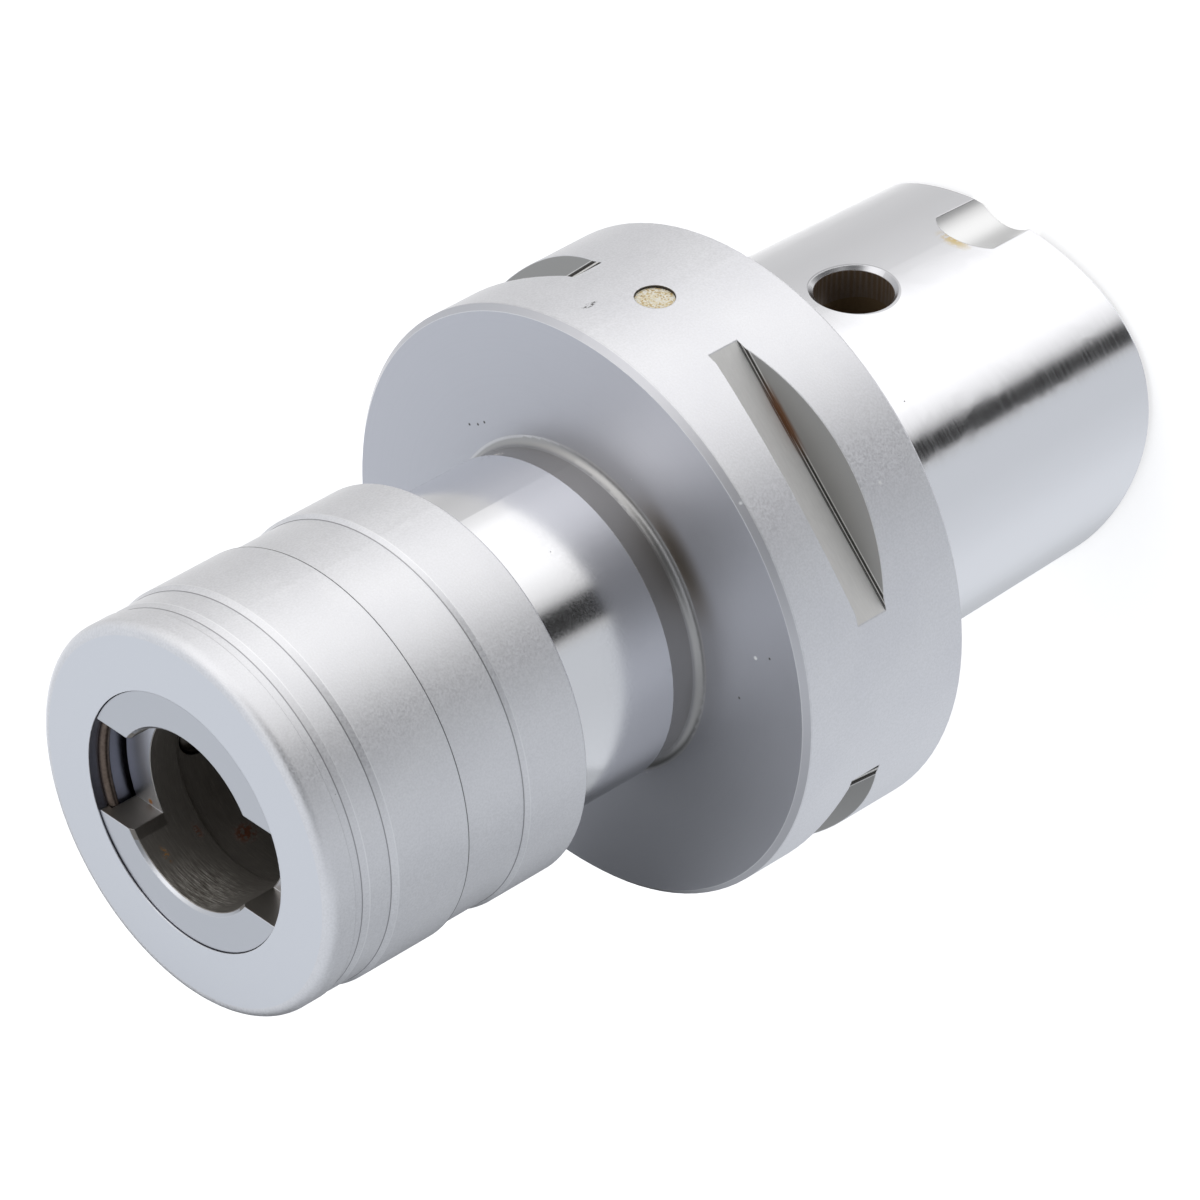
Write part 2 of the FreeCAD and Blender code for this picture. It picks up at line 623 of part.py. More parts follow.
guard_skirt = turned("guard_skirt", [
    ("%s + skirt_chamfer" % skirt_bore_radius, skirt_bottom),
    ("%s - skirt_chamfer" % sleeve_radius, skirt_bottom),
    (sleeve_radius, "%s + skirt_chamfer" % skirt_bottom),
    (sleeve_radius, "%s - grip_rear_length - grip_rear_ramp" % joint_level),
    (grip_rear_radius, "%s - grip_rear_length" % joint_level),
    (grip_rear_radius, joint_level),
    (spigot_radius, joint_level),
    (spigot_radius, "%s + spigot_length" % joint_level),
    (cavity_radius, "%s + spigot_length" % joint_level),
    (cavity_radius, skirt_step_level),
    (skirt_bore_radius, skirt_step_level),
    (skirt_bore_radius, wiper_top),
    ("%s + wiper_depth" % skirt_bore_radius, wiper_top),
    ("%s + wiper_depth" % skirt_bore_radius, wiper_bottom),
    (skirt_bore_radius, wiper_bottom),
    (skirt_bore_radius, "%s + skirt_chamfer" % skirt_bottom),
])

# Wiper ring in the skirt, running on the polished neck

turned("wiper_ring", ring_section(
    "%s + running_clearance" % neck_radius, "%s + wiper_depth - running_clearance" % skirt_bore_radius,
    "%s + running_clearance" % wiper_bottom, "%s - running_clearance" % wiper_top))

# Split wire ring that holds the sleeve behind the lip of the spindle

nose_ring = doc.addObject("Part::Torus", "nose_snap_ring")
nose_ring.Label = "nose_snap_ring"
nose_ring.setExpression("Radius1", bound("%s + ring_wire / 2 + running_clearance" % ring_track_radius))
nose_ring.setExpression("Radius2", bound("ring_wire / 2"))
nose_ring.setExpression("Angle3", bound("360 - ring_gap_angle"))
ring_turn = FreeCAD.Rotation(FreeCAD.Vector(0, 0, 1), sheet.ring_gap_angle / 2)
nose_ring.Placement = FreeCAD.Placement(FreeCAD.Vector(), ring_turn)
nose_ring.setExpression("Placement.Base.z", bound(ring_level))

# Collar that carries the sleeve spring, and the snap ring under it

turned("spring_collar", ring_section(
    "%s + running_clearance" % spindle_radius, "%s - collar_side_gap" % cavity_radius,
    collar_bottom, collar_top))
turned("collar_snap_ring", ring_section(
    "%s - collar_ring_depth + running_clearance" % spindle_radius,
    "%s - collar_ring_depth + collar_ring_width" % spindle_radius,
    "%s + running_clearance" % collar_ring_bottom, collar_bottom), angle="360 - ring_gap_angle")
sleeve_spring_mean = "(%s - sleeve_spring_side_gap - sleeve_spring_wire / 2)" % cavity_radius
coil("sleeve_spring", sleeve_spring_mean, "sleeve_spring_wire", collar_top,
     "%s - %s" % (shoulder_level, collar_top), "sleeve_spring_turns")

# Locking balls

for number, azimuth in enumerate(ball_angles, start=1):
    ball = doc.addObject("Part::Sphere", "locking_ball_%d" % number)
    ball.Label = "locking_ball_%d" % number
    ball.setExpression("Radius", bound(ball_radius))
    across = math.cos(math.radians(azimuth))
    along = math.sin(math.radians(azimuth))
    ball.setExpression("Placement.Base.x", bound("%s * %.12f" % (ball_centre, across)))
    ball.setExpression("Placement.Base.y", bound("%s * %.12f" % (ball_centre, along)))
    ball.setExpression("Placement.Base.z", bound(ball_level))

# Seal ring in the neck bore

seal = doc.addObject("Part::Torus", "spindle_seal")
seal.Label = "spindle_seal"
seal.setExpression("Radius1", bound("%s + seal_section / 2 + running_clearance" % spindle_radius))
seal.setExpression("Radius2", bound("seal_section / 2"))
seal.setExpression("Placement.Base.z", bound(seal_level))

# Float bolt through the web, with its washer; the abutment nut sits on its upper end

head_top = "(cavity_depth - washer_thickness)"
bolt_tip = "(%s + float_spring_length / 2)" % nut_top
float_bolt = turned("float_bolt", [
    ("0", "%s - bolt_head_height" % head_top),
    ("bolt_head_diameter / 2 - bolt_head_chamfer", "%s - bolt_head_height" % head_top),
    ("bolt_head_diameter / 2", "%s - bolt_head_height + bolt_head_chamfer" % head_top),
    ("bolt_head_diameter / 2", head_top),
    ("bolt_diameter / 2", head_top),
    ("bolt_diameter / 2", "%s - bolt_tip_chamfer" % bolt_tip),
    ("bolt_diameter / 2 - bolt_tip_chamfer", bolt_tip),
    ("0", bolt_tip),
])
doc.recompute()
socket_sketch = float_bolt.newObject("Sketcher::SketchObject", "bolt_socket_plan")
socket_sketch.AttachmentSupport = [(plane_of(float_bolt, "XY_Plane"), "")]
socket_sketch.MapMode = "FlatFace"
socket_sketch.setExpression("AttachmentOffset.Base.z", bound("%s - bolt_head_height" % head_top))
corner_distance = value_of("bolt_socket_width") / math.sqrt(3)
hexagon = [
    FreeCAD.Vector(corner_distance * math.cos(math.radians(60 * corner)),
                   corner_distance * math.sin(math.radians(60 * corner)), 0)
    for corner in range(6)
]
for corner in range(6):
    socket_sketch.addGeometry(Part.LineSegment(hexagon[corner], hexagon[(corner + 1) % 6]))
for corner in range(6):
    socket_sketch.addConstraint(Sketcher.Constraint("Coincident", corner, 2, (corner + 1) % 6, 1))
corner_circle = Part.Circle(FreeCAD.Vector(), FreeCAD.Vector(0, 0, 1), corner_distance)
circle = socket_sketch.addGeometry(corner_circle, True)
socket_sketch.addConstraint(Sketcher.Constraint("Coincident", circle, 3, -1, 1))
for corner in range(6):
    socket_sketch.addConstraint(Sketcher.Constraint("PointOnObject", corner, 1, circle))
for corner in range(5):
    socket_sketch.addConstraint(Sketcher.Constraint("Equal", corner, corner + 1))
socket_sketch.addConstraint(Sketcher.Constraint("PointOnObject", 0, 1, -1))
width_rule = socket_sketch.addConstraint(Sketcher.Constraint("Radius", circle, corner_distance))
socket_sketch.setExpression("Constraints[%d]" % width_rule, bound("bolt_socket_width / sqrt(3)"))
socket = float_bolt.newObject("PartDesign::Pocket", "bolt_socket")
socket.Profile = socket_sketch
socket.Reversed = True
socket.setExpression("Length", bound("bolt_socket_depth"))
float_bolt.Tip = socket
doc.recompute()

turned("bolt_washer", ring_section(
    "bolt_diameter / 2 + free_clearance", "washer_diameter / 2", head_top, "cavity_depth"))

stop_height = "(float_spring_length - float_travel - stop_gap)"
boss_radius = "(bolt_diameter / 2 + stop_boss_wall)"
guide_radius = "(spring_bore / 2 - 3 * free_clearance)"
turned("abutment_nut", [
    ("bolt_diameter / 2 + running_clearance / 2", nut_bottom),
    (guide_radius, nut_bottom),
    (guide_radius, nut_top),
    (boss_radius, nut_top),
    (boss_radius, "%s + %s" % (nut_top, stop_height)),
    ("bolt_diameter / 2 + running_clearance / 2", "%s + %s" % (nut_top, stop_height)),
])

# Bush that closes the spindle from below and slides along the bolt

turned("end_bush", [
    ("bolt_diameter / 2 + running_clearance", spindle_bottom),
    ("spring_bore / 2 - running_clearance / 2", spindle_bottom),
    ("spring_bore / 2 - running_clearance / 2", bush_top),
    (boss_radius, bush_top),
    (boss_radius, "%s + %s" % (bush_top, stop_height)),
    ("bolt_diameter / 2 + running_clearance", "%s + %s" % (bush_top, stop_height)),
])

# The two float springs bear on the abutment nut from above and below

float_spring_mean = "(spring_bore / 2 - float_spring_side_gap - float_spring_wire / 2)"
coil("compression_spring", float_spring_mean, "float_spring_wire", nut_top,
     "float_spring_length", "float_spring_turns")
coil("extension_spring", float_spring_mean, "float_spring_wire", bush_top,
     "float_spring_length", "float_spring_turns")

# Drive pins in the flange, each behind a plug set in the rim

pin_inner = "(%s - pin_engagement)" % spindle_radius
plug_outer = "(flange_diameter / 2 - plug_recess)"
plug_inner = "(%s - plug_length)" % plug_outer
pin_length = "(%s - %s)" % (plug_inner, pin_inner)
for number in range(2):
    pin = turned("drive_pin_%d" % (number + 1), [
        ("0", "0"),
        ("pin_diameter / 2 - pin_chamfer", "0"),
        ("pin_diameter / 2", "pin_chamfer"),
        ("pin_diameter / 2", "%s - pin_chamfer" % pin_length),
        ("pin_diameter / 2 - pin_chamfer", pin_length),
        ("0", pin_length),
    ])
    turn = FreeCAD.Rotation(FreeCAD.Vector(0, 0, 1), 180.0 * number)
    lay = FreeCAD.Rotation(FreeCAD.Vector(0, 1, 0), 90)
    side = 1 - 2 * number
    pin.Placement = FreeCAD.Placement(FreeCAD.Vector(0, 0, 0), turn.multiply(lay))
    pin.setExpression("Placement.Base.x", bound("%d * %s" % (side, pin_inner)))
    pin.setExpression("Placement.Base.z", bound(groove_level))
    plug = radial_cylinder("rim_plug_%d" % (number + 1), "pin_diameter / 2 + running_clearance / 2",
                           plug_inner, plug_outer, groove_level, 180.0 * number)
    plug.Label = "rim_plug_%d" % (number + 1)

doc.recompute()

labels = ["holder_body", "spindle", "release_sleeve", "guard_skirt", "wiper_ring", "nose_snap_ring",
          "spring_collar", "collar_snap_ring", "sleeve_spring", "spindle_seal", "float_bolt", "bolt_washer",
          "abutment_nut", "end_bush", "compression_spring", "extension_spring",
          "drive_pin_1", "drive_pin_2", "rim_plug_1", "rim_plug_2"]
labels += ["locking_ball_%d" % number for number in range(1, len(ball_angles) + 1)]

for item in doc.Objects:
    if "Invalid" in item.State or "Error" in item.State:
        raise RuntimeError("%s did not build" % item.Label)

os.makedirs("parts", exist_ok=True)
for label in labels:
    shape = doc.getObjectsByLabel(label)[0].Shape
    if shape.isNull() or not shape.isValid() or shape.Volume <= 0:
        raise RuntimeError("%s has no sound solid" % label)
    shape.exportStep("parts/%s.step" % label)
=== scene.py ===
import math

import bmesh
import bpy
from mathutils import Matrix, Vector


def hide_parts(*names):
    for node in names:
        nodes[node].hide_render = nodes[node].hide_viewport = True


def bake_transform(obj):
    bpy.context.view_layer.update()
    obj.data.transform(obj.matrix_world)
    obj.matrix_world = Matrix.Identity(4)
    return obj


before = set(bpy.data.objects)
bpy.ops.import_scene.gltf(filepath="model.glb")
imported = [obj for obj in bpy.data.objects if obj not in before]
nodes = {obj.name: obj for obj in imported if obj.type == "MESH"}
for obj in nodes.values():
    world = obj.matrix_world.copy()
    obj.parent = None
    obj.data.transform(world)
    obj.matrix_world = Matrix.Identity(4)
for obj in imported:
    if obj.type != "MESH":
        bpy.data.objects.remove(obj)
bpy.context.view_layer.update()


# The camera
# The photograph was taken with a long lens, past the nose and onto the side with the grooves.
# The chuck stands on its shank here, so the camera is rolled until the nose points down and left.

camera_azimuth = math.radians(-44.53)
camera_elevation = math.radians(34.77)
camera_roll = math.radians(-119.19)
camera_distance = 0.7167
camera_aim = Vector((-0.0005, -0.0006, 0.0574))

camera_data = bpy.data.cameras.new("camera")
camera_data.lens = 219.7
camera_data.sensor_width = 36.0
camera_data.clip_start = 0.01
camera_data.clip_end = 20.0
camera = bpy.data.objects.new("camera", camera_data)
camera_turn = (Matrix.Rotation(camera_azimuth + math.pi / 2, 4, "Z")
               @ Matrix.Rotation(math.pi / 2 - camera_elevation, 4, "X")
               @ Matrix.Rotation(camera_roll, 4, "Z"))
step_back = Matrix.Translation((0, 0, camera_distance))
camera.matrix_world = Matrix.Translation(camera_aim) @ camera_turn @ step_back
bpy.context.scene.collection.objects.link(camera)
bpy.context.scene.camera = camera
bpy.context.scene.view_settings.view_transform = "Standard"


# The light tent
# White fabric all round gives the steel its soft grey, with one long bright panel on the side of the
# hole in the shank. Beside the panel the tent is open, and that slit is the dark line on each cylinder.
# Reflections see the tent, and only the camera sees the plain white behind the chuck.

def linear(text):
    """An sRGB hex colour as linear red, green, blue and alpha."""
    channels = [int(text[i:i + 2], 16) / 255 for i in (1, 3, 5)]
    return [c / 12.92 if c <= 0.04045 else ((c + 0.055) / 1.055) ** 2.4 for c in channels] + [1.0]


def add_node(tree, kind, inputs=None, **settings):
    """Adds a node, sets its properties, and sets or links its inputs by name or number."""
    item = tree.nodes.new(kind)
    for name, value in settings.items():
        setattr(item, name, value)
    for key, value in (inputs or {}).items():
        if isinstance(value, bpy.types.NodeSocket):
            tree.links.new(value, item.inputs[key])
        else:
            item.inputs[key].default_value = value
    return item


def set_ramp(item, stops):
    """Gives a colour ramp its stops, as (place, linear colour)."""
    ramp = item.color_ramp
    ramp.interpolation = "LINEAR"
    while len(ramp.elements) > 1:
        ramp.elements.remove(ramp.elements[-1])
    ramp.elements[0].position, ramp.elements[0].color = stops[0]
    for place, colour in stops[1:]:
        ramp.elements.new(place).color = colour


def tone(level, tint=(1.0, 1.0, 1.0)):
    """A level of light as a colour, in a tint."""
    return [level * channel for channel in tint] + [1.0]


cool = (0.95, 0.985, 1.035)

# Light round the horizon: direction in degrees from +X towards +Y, and the tone of the tent there
shaded_side = [(-180, tone(0.80, cool)), (-160, tone(0.80, cool)), (-140, tone(0.74, cool)),
               (-105, tone(0.68, cool)), (-68, tone(0.68, cool))]
slit = [(-62, tone(0.60)), (-58, tone(0.04)), (-42, tone(0.03)), (-37, tone(0.62))]
bright_panel = [(-30, tone(0.95)), (-12, tone(1.3)), (30, tone(1.3)), (48, tone(0.74))]
lit_side = [(70, tone(0.64)), (92, tone(0.70))]
far_lamp = [(112, tone(1.05)), (124, tone(2.2)), (136, tone(1.3, cool))]
dim_corner = [(146, tone(0.55, cool)), (160, tone(0.60, cool)), (174, tone(0.78, cool)),
              (180, tone(0.80, cool))]
tent_ring = shaded_side + slit + bright_panel + lit_side + far_lamp + dim_corner

world = bpy.data.worlds.new("light_tent")
bpy.context.scene.world = world
world.use_nodes = True
tent = world.node_tree
tent.nodes.clear()
way = add_node(tent, "ShaderNodeTexCoord").outputs["Generated"]
direction = add_node(tent, "ShaderNodeSeparateXYZ", {0: way})
turn = add_node(tent, "ShaderNodeMath", {0: direction.outputs["Y"], 1: direction.outputs["X"]},
                operation="ARCTAN2")
turn_share = add_node(tent, "ShaderNodeMapRange",
                      {"Value": turn.outputs[0], "From Min": -math.pi, "From Max": math.pi})
ring = add_node(tent, "ShaderNodeValToRGB", {0: turn_share.outputs[0]})
set_ramp(ring, [((angle + 180) / 360, colour) for angle, colour in tent_ring])

# The sides of the tent grow brighter upwards, and the roof is even, except over the bright panel
higher = add_node(tent, "ShaderNodeMapRange",
                  {"Value": direction.outputs["Z"], "From Min": 0.0, "From Max": 0.45,
                   "To Min": 1.0, "To Max": 1.25})
lifted = add_node(tent, "ShaderNodeVectorMath", {0: ring.outputs[0], "Scale": higher.outputs[0]},
                  operation="SCALE")
roof_share = add_node(tent, "ShaderNodeMapRange",
                      {"Value": direction.outputs["Z"], "From Min": -0.25, "From Max": 0.30},
                      interpolation_type="SMOOTHSTEP")
beside_panel = add_node(tent, "ShaderNodeMapRange",
                        {"Value": direction.outputs["X"], "From Min": 0.45, "From Max": 0.15},
                        interpolation_type="SMOOTHSTEP")
roof_part = add_node(tent, "ShaderNodeMath", {0: roof_share.outputs[0], 1: beside_panel.outputs[0]},
                     operation="MULTIPLY")
roof = add_node(tent, "ShaderNodeMix",
                {"Factor": roof_part.outputs[0], "A": lifted.outputs[0], "B": tone(0.78, cool)},
                data_type="RGBA")

# A flap in one upper corner hangs open onto the dark room
flap_direction = (0.58, -0.57, 0.58)
toward_flap = add_node(tent, "ShaderNodeVectorMath", {0: way, 1: flap_direction}, operation="DOT_PRODUCT")
flap_share = add_node(tent, "ShaderNodeMapRange",
                      {"Value": toward_flap.outputs["Value"], "From Min": 0.80, "From Max": 0.93},
                      interpolation_type="SMOOTHSTEP")
open_flap = add_node(tent, "ShaderNodeMix",
                     {"Factor": flap_share.outputs[0], "A": roof.outputs["Result"], "B": tone(0.05, cool)},
                     data_type="RGBA")
tent_light = add_node(tent, "ShaderNodeBackground", {"Color": open_flap.outputs["Result"], "Strength": 1.0})
backdrop = add_node(tent, "ShaderNodeBackground", {"Color": tone(1.0), "Strength": 1.0})
paths = add_node(tent, "ShaderNodeLightPath")
seen = add_node(tent, "ShaderNodeMixShader",
                {0: paths.outputs["Is Camera Ray"], 1: tent_light.outputs[0], 2: backdrop.outputs[0]})
add_node(tent, "ShaderNodeOutputWorld", {0: seen.outputs[0]})


# The floor
# Matt white card under the chuck. A faint glow that only the camera sees keeps it white, so that nothing
# but the chuck's soft shadow is left of it. From below it is clear, to show the end of the shank.

floor_radius = 1.2
floor_mesh = bpy.data.meshes.new("floor")
floor_form = bmesh.new()
bmesh.ops.create_circle(floor_form, cap_ends=True, segments=96, radius=floor_radius)
floor_form.to_mesh(floor_mesh)
floor_form.free()
floor = bpy.data.objects.new("floor", floor_mesh)
bpy.context.scene.collection.objects.link(floor)
floor_paint = bpy.data.materials.new("matt_white_floor")
floor_paint.use_nodes = True
tree = floor_paint.node_tree
tree.nodes.clear()
matt = add_node(tree, "ShaderNodeBsdfDiffuse", {"Color": tone(0.72)})
glow = add_node(tree, "ShaderNodeEmission", {"Color": tone(1.0), "Strength": 0.62})
both = add_node(tree, "ShaderNodeAddShader", {0: matt.outputs[0], 1: glow.outputs[0]})
through = add_node(tree, "ShaderNodeLightPath")
shown = add_node(tree, "ShaderNodeMixShader",
                 {0: through.outputs["Is Camera Ray"], 1: matt.outputs[0], 2: both.outputs[0]})
underside = add_node(tree, "ShaderNodeNewGeometry")
nothing = add_node(tree, "ShaderNodeBsdfTransparent")
one_way = add_node(tree, "ShaderNodeMixShader",
                   {0: underside.outputs["Backfacing"], 1: shown.outputs[0], 2: nothing.outputs[0]})
add_node(tree, "ShaderNodeOutputMaterial", {0: one_way.outputs[0]})
floor_mesh.materials.append(floor_paint)
floor.visible_glossy = False


# The dark card, a painted shadow
# A dark sheet painted as the shadow of the table: it stands on the far side of the neck, where the real chuck
# lay in its own shadow, and only reflections show it. It makes the front face of the flange dark beside the
# neck, and fades out towards two sides.

card_x = -0.034
card_reach = 0.080
card_low, card_high = 0.052, 0.118
card_mesh = bpy.data.meshes.new("painted_table_shadow")
card_form = bmesh.new()
card_corners = [(card_reach, card_low), (-card_reach, card_low),
                (-card_reach, card_high), (card_reach, card_high)]
card_form.faces.new([card_form.verts.new((card_x, y, z)) for y, z in card_corners])
card_form.to_mesh(card_mesh)
card_form.free()
card = bpy.data.objects.new("painted_table_shadow", card_mesh)
bpy.context.scene.collection.objects.link(card)
table_shadow_paint = bpy.data.materials.new("painted_table_shadow")
table_shadow_paint.use_nodes = True
tree = table_shadow_paint.node_tree
tree.nodes.clear()
card_place = add_node(tree, "ShaderNodeTexCoord").outputs["Object"]
slant = add_node(tree, "ShaderNodeVectorMath", {0: card_place, 1: (0.0, 1.0, -0.85)}, operation="DOT_PRODUCT")
cover = add_node(tree, "ShaderNodeMapRange",
                 {"Value": slant.outputs["Value"], "From Min": -0.031, "From Max": -0.055},
                 interpolation_type="SMOOTHSTEP")
along_edge = add_node(tree, "ShaderNodeSeparateXYZ", {0: card_place})
edge_fade = add_node(tree, "ShaderNodeMapRange",
                     {"Value": along_edge.outputs["Y"], "From Min": -0.021, "From Max": -0.008,
                      "To Min": 0.35}, interpolation_type="SMOOTHSTEP")
opaque = add_node(tree, "ShaderNodeMath", {0: cover.outputs[0], 1: edge_fade.outputs[0]},
                  operation="MULTIPLY")
# Its near-black glow is the painted shadow that the flange face mirrors
shade = add_node(tree, "ShaderNodeEmission", {"Color": tone(0.04, cool), "Strength": 1.0})
clear = add_node(tree, "ShaderNodeBsdfTransparent")
faded = add_node(tree, "ShaderNodeMixShader",
                 {0: opaque.outputs[0], 1: clear.outputs[0], 2: shade.outputs[0]})
add_node(tree, "ShaderNodeOutputMaterial", {0: faded.outputs[0]})
card_mesh.materials.append(table_shadow_paint)
card.visible_camera = False
card.visible_diffuse = False
card.visible_shadow = False
card.visible_transmission = False


# The holder
# One piece of hardened alloy steel. The shank's three-lobed taper and the neck are ground, the flange
# is turned, then blasted with fine beads, and the grooves for the tool gripper are milled across its rim.

def open_surface(name):
    """A new material: its tree, the place on the piece in millimetres, and the distance from the axis."""
    material = bpy.data.materials.new(name)
    material.use_nodes = True
    tree = material.node_tree
    tree.nodes.clear()
    coords = add_node(tree, "ShaderNodeTexCoord")
    place = add_node(tree, "ShaderNodeVectorMath", {0: coords.outputs["Object"], "Scale": 1000.0},
                     operation="SCALE")
    flat = add_node(tree, "ShaderNodeVectorMath", {0: place.outputs[0], 1: (1.0, 1.0, 0.0)},
                    operation="MULTIPLY")
    radius = add_node(tree, "ShaderNodeVectorMath", {0: flat.outputs[0]}, operation="LENGTH")
    return material, tree, place.outputs[0], radius.outputs["Value"]


def where_all(tree, *masks):
    """1 where every mask is 1."""
    result = masks[0]
    for mask in masks[1:]:
        result = add_node(tree, "ShaderNodeMath", {0: result, 1: mask}, operation="MULTIPLY").outputs[0]
    return result


def between(tree, value, low, high, soft=0.03):
    """1 where a value lies between two limits, 0 elsewhere; soft is half the width of each border."""
    rise = add_node(tree, "ShaderNodeMapRange",
                    {"Value": value, "From Min": low - soft, "From Max": low + soft},
                    interpolation_type="SMOOTHSTEP")
    fall = add_node(tree, "ShaderNodeMapRange",
                    {"Value": value, "From Min": high + soft, "From Max": high - soft},
                    interpolation_type="SMOOTHSTEP")
    return where_all(tree, rise.outputs[0], fall.outputs[0])


def near(tree, place, centre, reach, soft, squeeze=(1.0, 1.0, 1.0)):
    """1 around a point, as far as the reach, in millimetres; squeeze makes the spot shorter along an axis."""
    offset = add_node(tree, "ShaderNodeVectorMath", {0: place, 1: centre}, operation="SUBTRACT")
    scaled = add_node(tree, "ShaderNodeVectorMath", {0: offset.outputs[0], 1: squeeze}, operation="MULTIPLY")
    far = add_node(tree, "ShaderNodeVectorMath", {0: scaled.outputs[0]}, operation="LENGTH")
    return add_node(tree, "ShaderNodeMapRange",
                    {"Value": far.outputs["Value"], "From Min": reach + soft, "From Max": reach - soft},
                    interpolation_type="SMOOTHSTEP").outputs[0]


def specks(tree, place, spacing, size, share):
    """Small round marks strewn over a surface, in millimetres; share is how many of them are kept."""
    cells = add_node(tree, "ShaderNodeTexVoronoi", {"Vector": place, "Scale": 1 / spacing})
    dot = add_node(tree, "ShaderNodeMapRange",
                   {"Value": cells.outputs["Distance"], "From Min": size / spacing,
                    "From Max": 0.5 * size / spacing})
    pick = add_node(tree, "ShaderNodeSeparateXYZ", {0: cells.outputs["Color"]})
    kept = add_node(tree, "ShaderNodeMath", {0: pick.outputs[0], 1: share}, operation="LESS_THAN")
    return where_all(tree, dot.outputs[0], kept.outputs[0])


def coat(tree, under, mask, colour, roughness, metal=1.0):
    """Lays a finish over another where the mask is 1: a colour, a roughness and a share of bare metal."""
    top = linear(colour) if isinstance(colour, str) else colour
    shown = add_node(tree, "ShaderNodeMix", {"Factor": mask, "A": under[0], "B": top}, data_type="RGBA")
    rough = add_node(tree, "ShaderNodeMix", {"Factor": mask, "A": under[1], "B": roughness})
    share = under[2]
    if share != metal:
        share = add_node(tree, "ShaderNodeMix", {"Factor": mask, "A": share, "B": metal}).outputs["Result"]
    return shown.outputs["Result"], rough.outputs["Result"], share


def close_surface(material, tree, finish, height, depth):
    """Ends a material: edges rounded by a hair and worn bright, and a fine relief, its depth in metres."""
    edge_round = 0.00012
    rounded = add_node(tree, "ShaderNodeBevel", {"Radius": edge_round}, samples=6)
    true = add_node(tree, "ShaderNodeNewGeometry")
    match = add_node(tree, "ShaderNodeVectorMath", {0: rounded.outputs[0], 1: true.outputs["Normal"]},
                     operation="DOT_PRODUCT")
    worn = add_node(tree, "ShaderNodeMapRange",
                    {"Value": match.outputs["Value"], "From Min": 0.985, "From Max": 0.87, "To Max": 0.55})
    if finish[2] != 0.0:
        finish = coat(tree, finish, worn.outputs[0], "#e9e9ea", 0.25)
    relief = add_node(tree, "ShaderNodeBump",
                      {"Height": height, "Distance": depth, "Strength": 1.0, "Normal": rounded.outputs[0]})
    body = add_node(tree, "ShaderNodeBsdfPrincipled",
                    {"Base Color": finish[0], "Metallic": finish[2], "Roughness": finish[1],
                     "Normal": relief.outputs[0]})
    add_node(tree, "ShaderNodeOutputMaterial", {0: body.outputs[0]})


def put_on(names, material):
    """Gives CAD pieces their material, in their own slots."""
    for name in names:
        for place in nodes[name].material_slots:
            place.material = material


# The dents of the beads, per millimetre. Real ones are a few hundredths across; these are drawn coarser.
beads_per_mm = 4.5

# Most of a noise lies between these two, and a roughness or a tone is spread out from there
noise_span = {"From Min": 0.3, "From Max": 0.7}


def blasted(tree, place, dark, light, patches_per_mm, roughest):
    """The beads' relief, and the finish they leave: an even satin grain over wide, faint patches."""
    beads = add_node(tree, "ShaderNodeTexNoise", {"Vector": place, "Scale": beads_per_mm, "Detail": 2.0})
    patches = add_node(tree, "ShaderNodeTexNoise", {"Vector": place, "Scale": patches_per_mm, "Detail": 3.0})
    grain = add_node(tree, "ShaderNodeTexNoise", {"Vector": place, "Scale": beads_per_mm, "Detail": 1.0})
    patched = add_node(tree, "ShaderNodeMix",
                       {"Factor": patches.outputs[0], "A": linear(dark), "B": linear(light)},
                       data_type="RGBA")
    grain_level = add_node(tree, "ShaderNodeMapRange",
                           {"Value": grain.outputs[0], **noise_span, "To Min": 0.94, "To Max": 1.04})
    grained = add_node(tree, "ShaderNodeVectorMath",
                       {0: patched.outputs["Result"], "Scale": grain_level.outputs[0]}, operation="SCALE")
    rough = add_node(tree, "ShaderNodeMapRange",
                     {"Value": beads.outputs[0], **noise_span, "To Min": 0.44, "To Max": roughest})
    return beads.outputs[0], (grained.outputs[0], rough.outputs[0], 1.0)


# Levels of the flange's two faces and the radius of its rim, in millimetres
flange_rear, flange_front = 38.0, 60.0
rim_radius = 31.5

# Blasted steel scatters what it mirrors into a soft satin grey, and its ground zones show the tent's panel
# and slit sharply
holder_steel, tree, place, radius = open_surface("hardened_steel_blasted_and_ground")
axes = add_node(tree, "ShaderNodeSeparateXYZ", {0: place})
x, y, z = axes.outputs[0], axes.outputs[1], axes.outputs[2]
beads, finish = blasted(tree, place, "#e5e5e9", "#f0f0f2", 0.12, 0.60)
chamfer = where_all(tree, between(tree, z, flange_front - 0.8, flange_front - 0.03),
                    between(tree, radius, rim_radius - 0.7, rim_radius - 0.02))
finish = coat(tree, finish, chamfer, "#cdcdd1", 0.45)

# The faces of the flange are turned and finely ground, with a faint brown tint beside the neck that is
# painted shade. Lines left by turning are about a tenth of a millimetre apart, and are drawn three to the
# millimetre.
turned_per_mm = 3.0
turning = add_node(tree, "ShaderNodeTexNoise", {"W": radius, "Scale": turned_per_mm, "Detail": 3.0},
                   noise_dimensions="1D")
front_face = where_all(tree, between(tree, z, flange_front - 0.03, flange_front + 0.5),
                       between(tree, radius, 17.95, rim_radius - 0.64))
rear_face = where_all(tree, between(tree, z, flange_rear - 0.1, flange_rear + 0.75),
                      between(tree, radius, 23.4, rim_radius - 0.64))
face_rough = add_node(tree, "ShaderNodeMapRange",
                      {"Value": turning.outputs[0], **noise_span, "To Min": 0.50, "To Max": 0.53})
for face in (front_face, rear_face):
    finish = coat(tree, finish, face, "#d3d4da", face_rough.outputs[0])
# Painted shade: the front face is darker and browner beside the neck
tint = where_all(tree, front_face, near(tree, place, (13.0, -14.5, flange_front), 5.0, 4.0),
                 between(tree, radius, 17.0, 20.0, 1.6))
finish = coat(tree, finish, tint, "#b3a99e", 0.3)

